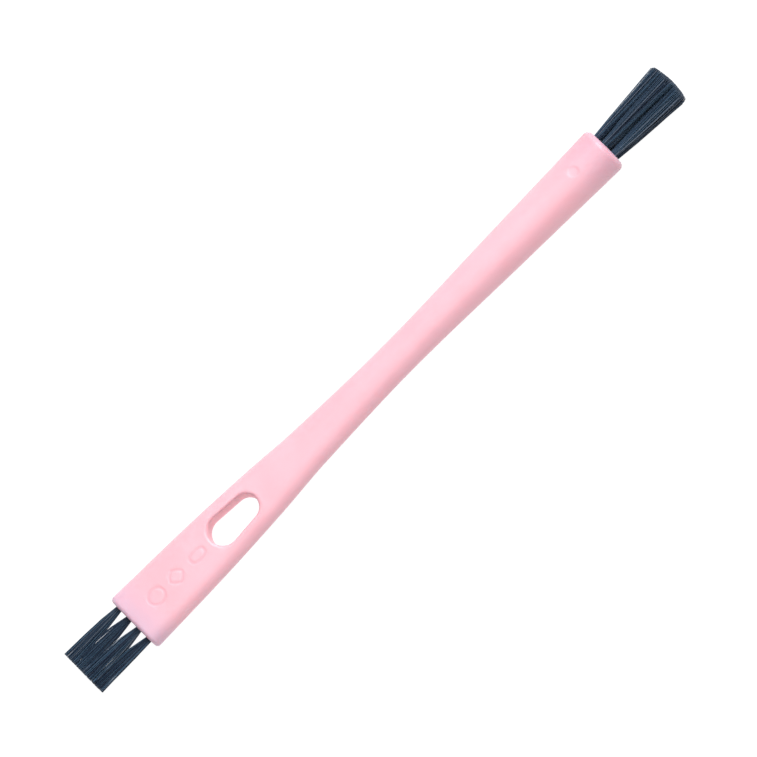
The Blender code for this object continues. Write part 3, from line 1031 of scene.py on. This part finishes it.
# %% Build the flat row
ROW_LEAN = 0.22 * MM
OUTER_LEAN = 0.36 * MM
OUTER_BEYOND = 3.0 * MM
OUTER_FAN = 1.58 * MM
INNER_FAN = 1.95 * MM
ROW_THICKNESS = 1.2 * MM
ROW_OPENING = 0.55

for anchor in anchors_of("flat"):
    side = centre_of(anchor).y
    outer = abs(side) > OUTER_BEYOND
    inwards = math.copysign(OUTER_LEAN, side) if outer else 0.0
    fan = OUTER_FAN if outer else INNER_FAN
    tuft = Tuft(anchor, -1, (ROW_LEAN - inwards, 0.0), fan, ROW_THICKNESS, ROW_OPENING)
    make_tuft(tuft, anchor.replace("anchor", "bristles"), nylon)

# %% [markdown]
# The ring tufts of the round brush lean away from the middle one and open steadily, so the seven together
# make a blunt cone with a shallow dome.

# %% Build the round brush
RING_LEAN = 0.42 * MM
RING_BEYOND = 1.0 * MM
ROUND_FAN = 1.62 * MM
ROUND_OPENING = 0.85

for anchor in anchors_of("round"):
    centre = centre_of(anchor)
    away = Vector((centre.y, centre.z - AXIS))
    lean = tuple(away.normalized() * RING_LEAN) if away.length > RING_BEYOND else (0.0, 0.0)
    tuft = Tuft(anchor, 1, lean, ROUND_FAN, ROUND_FAN, ROUND_OPENING)
    make_tuft(tuft, anchor.replace("anchor", "bristles"), nylon)

# %% [markdown]
# ## Brass anchors
# The anchors are slips of flat brass wire. Their CAD shape is already right, so they keep their nodes and
# only get a finish: brass with the fine lines of the drawing die along it, and a brown tarnish in patches.
# The lines are a noise that a Mapping node stretches along the wire.

# %% Anchor brass
BRIGHT_BRASS = (0.80, 0.60, 0.27, 1)
TARNISH = (0.46, 0.30, 0.13, 1)


def anchor_brass():
    material, tree, shader = new_material("drawn_brass_wire")
    place = add(tree, "ShaderNodeTexCoord").outputs["Object"]
    patches = add(tree, "ShaderNodeTexNoise", Vector=place, Scale=2200.0, Detail=3.0).outputs[0]
    lined = add(tree, "ShaderNodeMapping", Vector=place, Scale=(1.0, 0.08, 0.08)).outputs[0]
    lines = add(tree, "ShaderNodeTexNoise", Vector=lined, Scale=20000.0, Detail=2.0).outputs[0]
    colour = blend(tree, spread(tree, patches, 0.45, 0.7, 0.0, 1.0), BRIGHT_BRASS, TARNISH)
    tree.links.new(colour, shader.inputs["Base Color"])
    tree.links.new(spread(tree, patches, 0.3, 0.75, 0.24, 0.5), shader.inputs["Roughness"])
    bump = add(tree, "ShaderNodeBump", Strength=0.3, Distance=0.008 * MM, Height=lines)
    tree.links.new(bump.outputs[0], shader.inputs["Normal"])
    shader.inputs["Metallic"].default_value = 1.0
    return material


brass = anchor_brass()
for end in ("flat", "round"):
    for node in anchors_of(end):
        for material_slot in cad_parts[node].material_slots:
            material_slot.material = brass
print("brass on", len(anchors_of("flat")) + len(anchors_of("round")), "anchors")

# %% [markdown]
# ## Floor
# The brush lies on a near-white table that gives light of its own, as a light table does, so the soft
# shadow stays very faint. A white floor lit only by lamps would show a grey shadow round the brush.

# %% Floor
FLOOR_HALF = 3.0
FLOOR_GREY = (0.08, 0.08, 0.08, 1)
FLOOR_GLOW = 0.97
WHITE = (1, 1, 1, 1)


def make_floor():
    material, tree, shader = new_material("pale_table")
    place = add(tree, "ShaderNodeTexCoord").outputs["Object"]
    tooth = add(tree, "ShaderNodeTexNoise", Vector=place, Scale=900.0, Detail=2.0).outputs[0]
    tree.links.new(spread(tree, tooth, 0.3, 0.7, 0.7, 0.8), shader.inputs["Roughness"])
    shader.inputs["Base Color"].default_value = FLOOR_GREY
    shader.inputs["Emission Color"].default_value = WHITE
    shader.inputs["Emission Strength"].default_value = FLOOR_GLOW
    shape = bmesh.new()
    bmesh.ops.create_grid(shape, x_segments=2, y_segments=2, size=FLOOR_HALF)
    mesh = bpy.data.meshes.new("floor")
    shape.to_mesh(mesh)
    shape.free()
    mesh.materials.append(material)
    floor = bpy.data.objects.new("floor", mesh)
    bpy.context.scene.collection.objects.link(floor)
    print(f"floor {2 * FLOOR_HALF:.0f} m wide")


make_floor()

# %% [markdown]
# ## Camera
# The camera looks down on the brush a little from its -Y side, with the brush running from the lower left
# to the upper right. A long lens keeps both ends the same size. Rotation angles for such a view are hard to
# guess, so the camera's right, up and back directions are worked out from the brush's slant in the view and
# the camera's tilt, and a matrix of the three turns it.

# %% Camera
TILT = math.radians(15.3)
SLANT = math.radians(45.26)
CAMERA_DISTANCE = 1.5
LENS = 361.3
SENSOR_WIDTH = 36.0
AIM_RIGHT = 0.04 * MM
AIM_DOWN = 0.2 * MM

along_brush = Vector((1, 0, 0))
across_brush = Vector((0, math.cos(TILT), math.sin(TILT)))
right = math.cos(SLANT) * along_brush - math.sin(SLANT) * across_brush
up = math.sin(SLANT) * along_brush + math.cos(SLANT) * across_brush
back = right.cross(up)
target = Vector((0, 0, AXIS)) + AIM_RIGHT * right - AIM_DOWN * up

camera_data = bpy.data.cameras.new("camera")
camera_data.lens = LENS
camera_data.sensor_width = SENSOR_WIDTH
camera_data.clip_start, camera_data.clip_end = 0.05, 20.0
camera = bpy.data.objects.new("camera", camera_data)
turn = Matrix((right, up, back)).transposed()
camera.matrix_world = Matrix.Translation(target + CAMERA_DISTANCE * back) @ turn.to_4x4()
bpy.context.scene.collection.objects.link(camera)
bpy.context.scene.camera = camera
print("camera at", [round(v, 3) for v in camera.location])

# %% [markdown]
# ## Light
# The light is that of a small product table. One big soft lamp stands beyond the upper edge of the view and
# leaves the handle's lower side in soft shade, and a wider, weaker one fills from behind the camera. Both
# are round area lamps, because a small hard one would draw sharp glints on the satin plastic. A pale world
# fills the rest. The Standard view keeps the pinks as they are mixed.

# %% Lights
def soft_lamp(name, direction, distance, size, power):
    """A round area lamp that looks back along its direction at the middle of the brush."""
    lamp = bpy.data.lights.new(name, "AREA")
    lamp.shape, lamp.size, lamp.energy = "DISK", size, power
    holder = bpy.data.objects.new(name, lamp)
    direction = direction.normalized()
    holder.location = target + distance * direction
    holder.rotation_mode = "QUATERNION"
    holder.rotation_quaternion = direction.to_track_quat("Z", "Y")
    bpy.context.scene.collection.objects.link(holder)
    print(f"{name}: {power} W, {size} m wide, {distance} m away")


soft_lamp("key_lamp", 0.80 * up + 0.75 * back, distance=1.4, size=1.0, power=22.5)
soft_lamp("top_lamp", 1.0 * back - 0.1 * up, distance=2.4, size=1.8, power=12.0)

world = bpy.data.worlds.new("pale_room")
world.use_nodes = True
backdrop = world.node_tree.nodes["Background"]
backdrop.inputs["Color"].default_value = WHITE
backdrop.inputs["Strength"].default_value = 0.34
bpy.context.scene.world = world
bpy.context.scene.view_settings.view_transform = "Standard"
